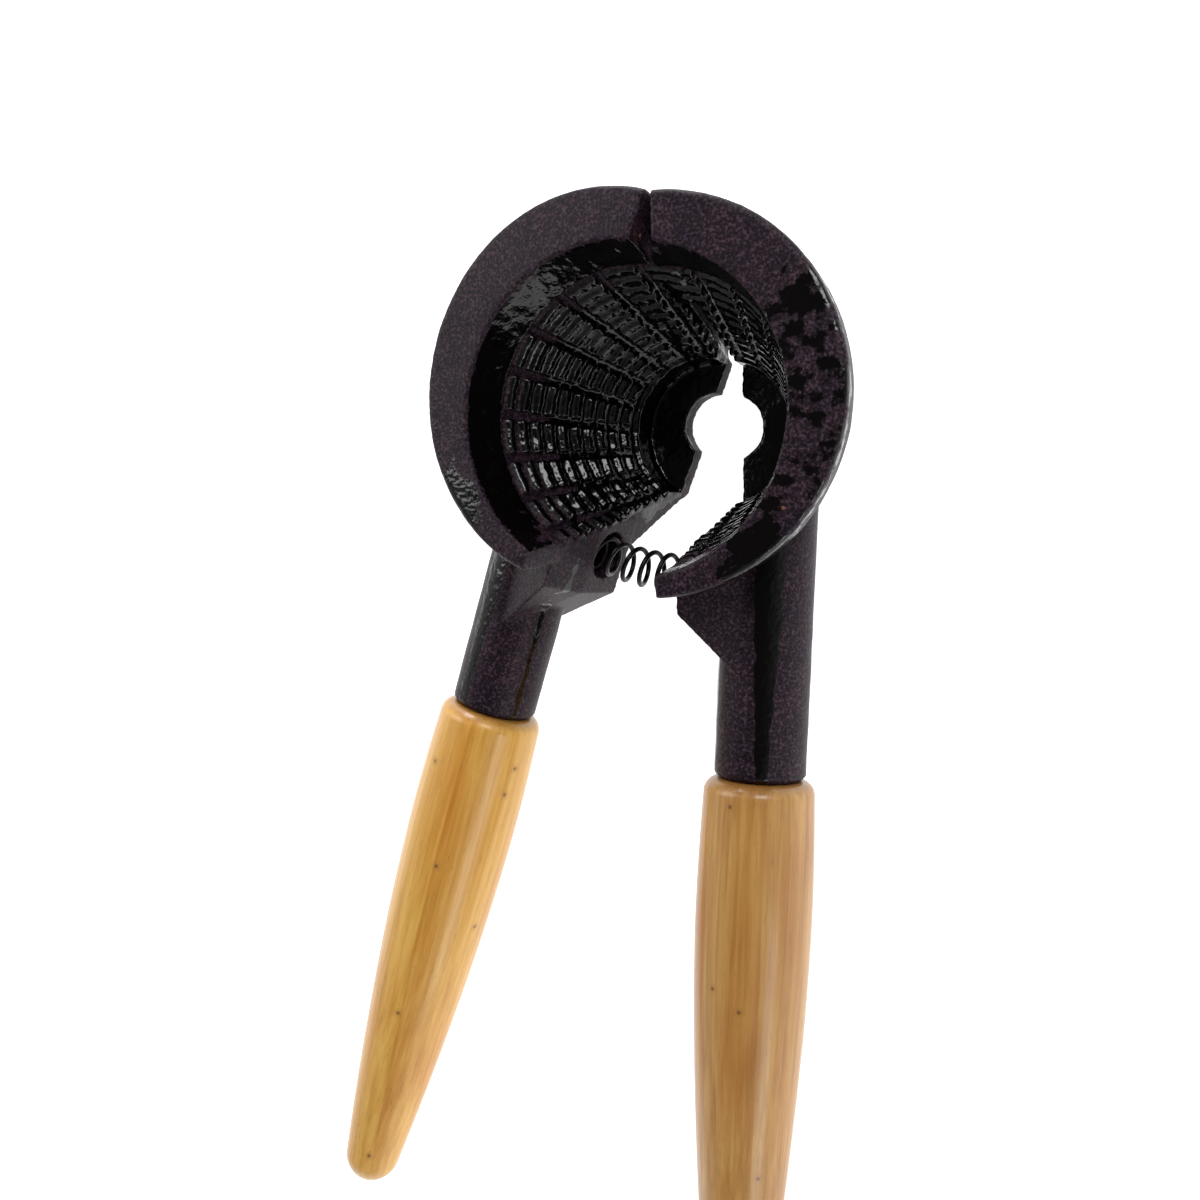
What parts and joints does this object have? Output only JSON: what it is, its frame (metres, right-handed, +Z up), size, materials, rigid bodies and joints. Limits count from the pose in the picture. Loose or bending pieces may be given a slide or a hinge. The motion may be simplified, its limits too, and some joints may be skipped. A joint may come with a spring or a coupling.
{
  "type": "cone nutcracker",
  "caption": "Hand nutcracker: two ridged half-cone iron jaws on a pin, held open by a coil spring, with turned wooden handles.",
  "frame": {"origin": "on the surface the nutcracker lies on, below the middle of its bounding box", "axes": "+X across the two jaws, +Y from the handles towards the hinge, +Z up out of the mouth of the cone"},
  "size_m": [0.0898, 0.1881, 0.0568],
  "materials": {
    "jaw_paint": "charcoal hammered paint on cast iron",
    "pin_steel": "black steel",
    "spring_wire": "black oiled spring wire",
    "handle_wood": "lacquered, honey coloured",
    "stud_steel": "plain"
  },
  "bodies": {
    "right_half": {"right_jaw": "jaw_paint", "right_handle": "handle_wood", "right_handle_stud": "stud_steel", "hinge_pin": "pin_steel", "opening_spring": "spring_wire"},
    "left_half": {"left_jaw": "jaw_paint", "left_handle": "handle_wood", "left_handle_stud": "stud_steel"}
  },
  "joints": [
    {"name": "jaw_hinge", "type": "hinge", "parent": "right_half", "child": "left_half", "pos_m": [0, 0.09066, 0.05665], "axis": [0, 0.1781, 0.984], "range_deg": [-6, 21.5], "stiffness_Nm_per_rad": 1, "deforming": ["opening_spring"]}
  ]
}
